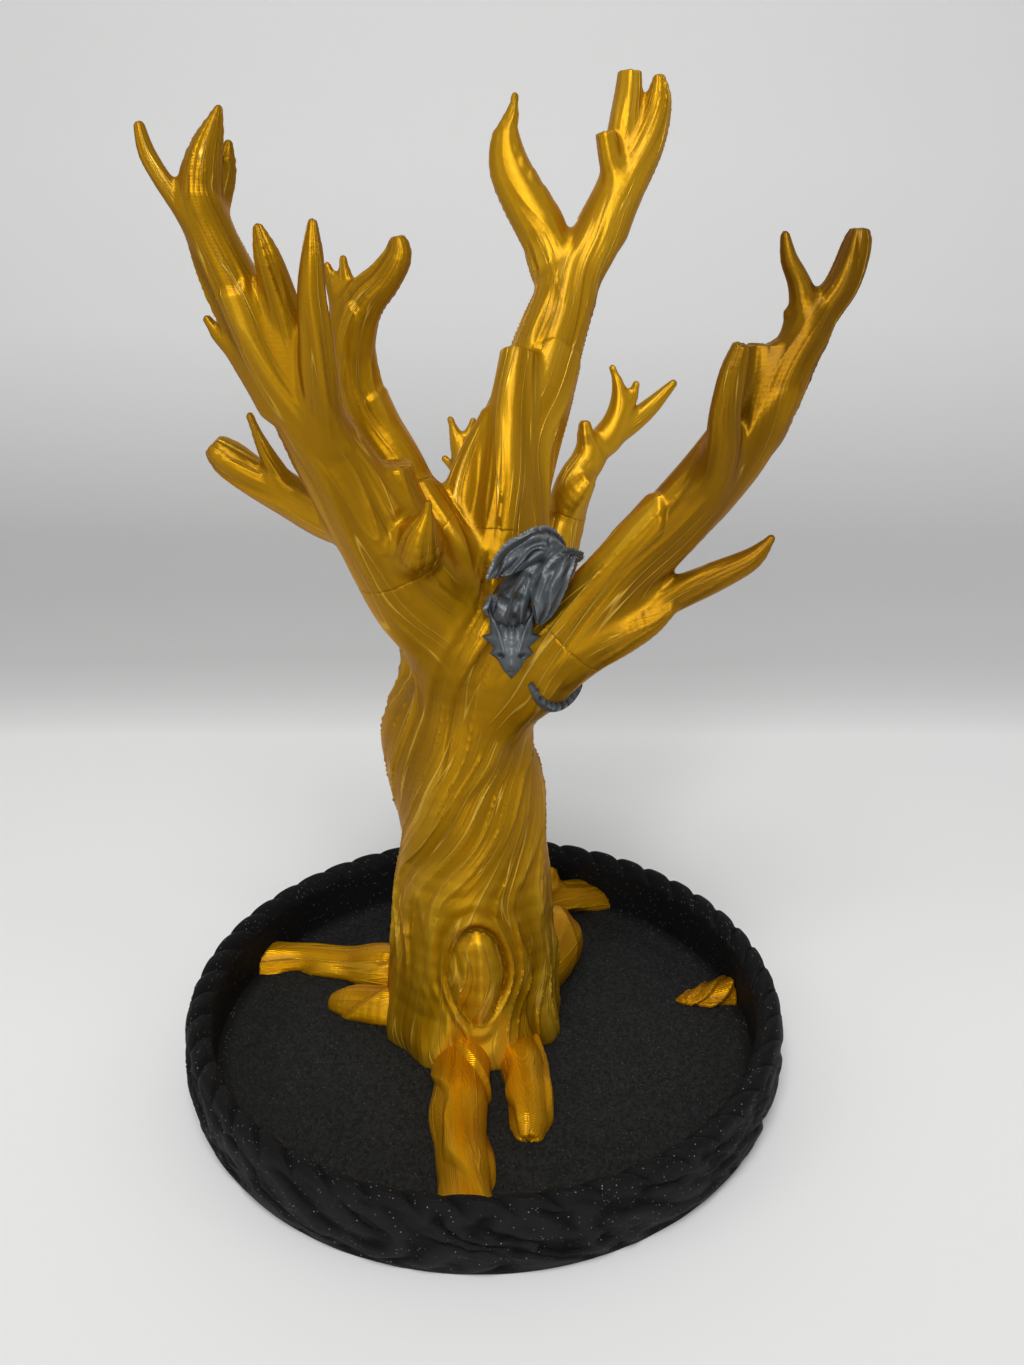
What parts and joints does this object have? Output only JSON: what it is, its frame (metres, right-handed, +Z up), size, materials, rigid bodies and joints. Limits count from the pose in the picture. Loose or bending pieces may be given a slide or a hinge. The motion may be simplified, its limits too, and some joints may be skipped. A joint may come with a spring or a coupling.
{
  "type": "jewelry tree",
  "caption": "Free-standing jewelry tree: a fluted trunk with forked limbs for hanging pieces, a dragon in its fork, and roots spread over a round walled tray.",
  "frame": {"origin": "centre of the tray's flat underside, on the surface that it stands on", "axes": "+Z up along the trunk, -Y towards the front of the tree, +X to its right seen from the front"},
  "size_m": [0.161, 0.1598, 0.2457],
  "materials": {
    "black_plastic": "matte black with fine pale specks",
    "gold_plastic": "silky old gold with fine layer lines",
    "amber_plastic": "silky amber gold with fine layer lines",
    "grey_plastic": "silky slate grey with fine layer lines"
  },
  "bodies": {
    "root": {"tray": "black_plastic", "trunk": "gold_plastic", "limb_left": "gold_plastic", "limb_hook": "gold_plastic", "limb_centre": "gold_plastic", "limb_back": "gold_plastic", "limb_right": "gold_plastic", "root_front_long": "amber_plastic", "root_front_short": "amber_plastic", "root_left_long": "amber_plastic", "root_left_short": "amber_plastic", "root_right": "amber_plastic", "root_back": "amber_plastic", "root_wall_tip": "amber_plastic", "dragon": "grey_plastic", "dragon_tail": "grey_plastic"}
  },
  "joints": []
}
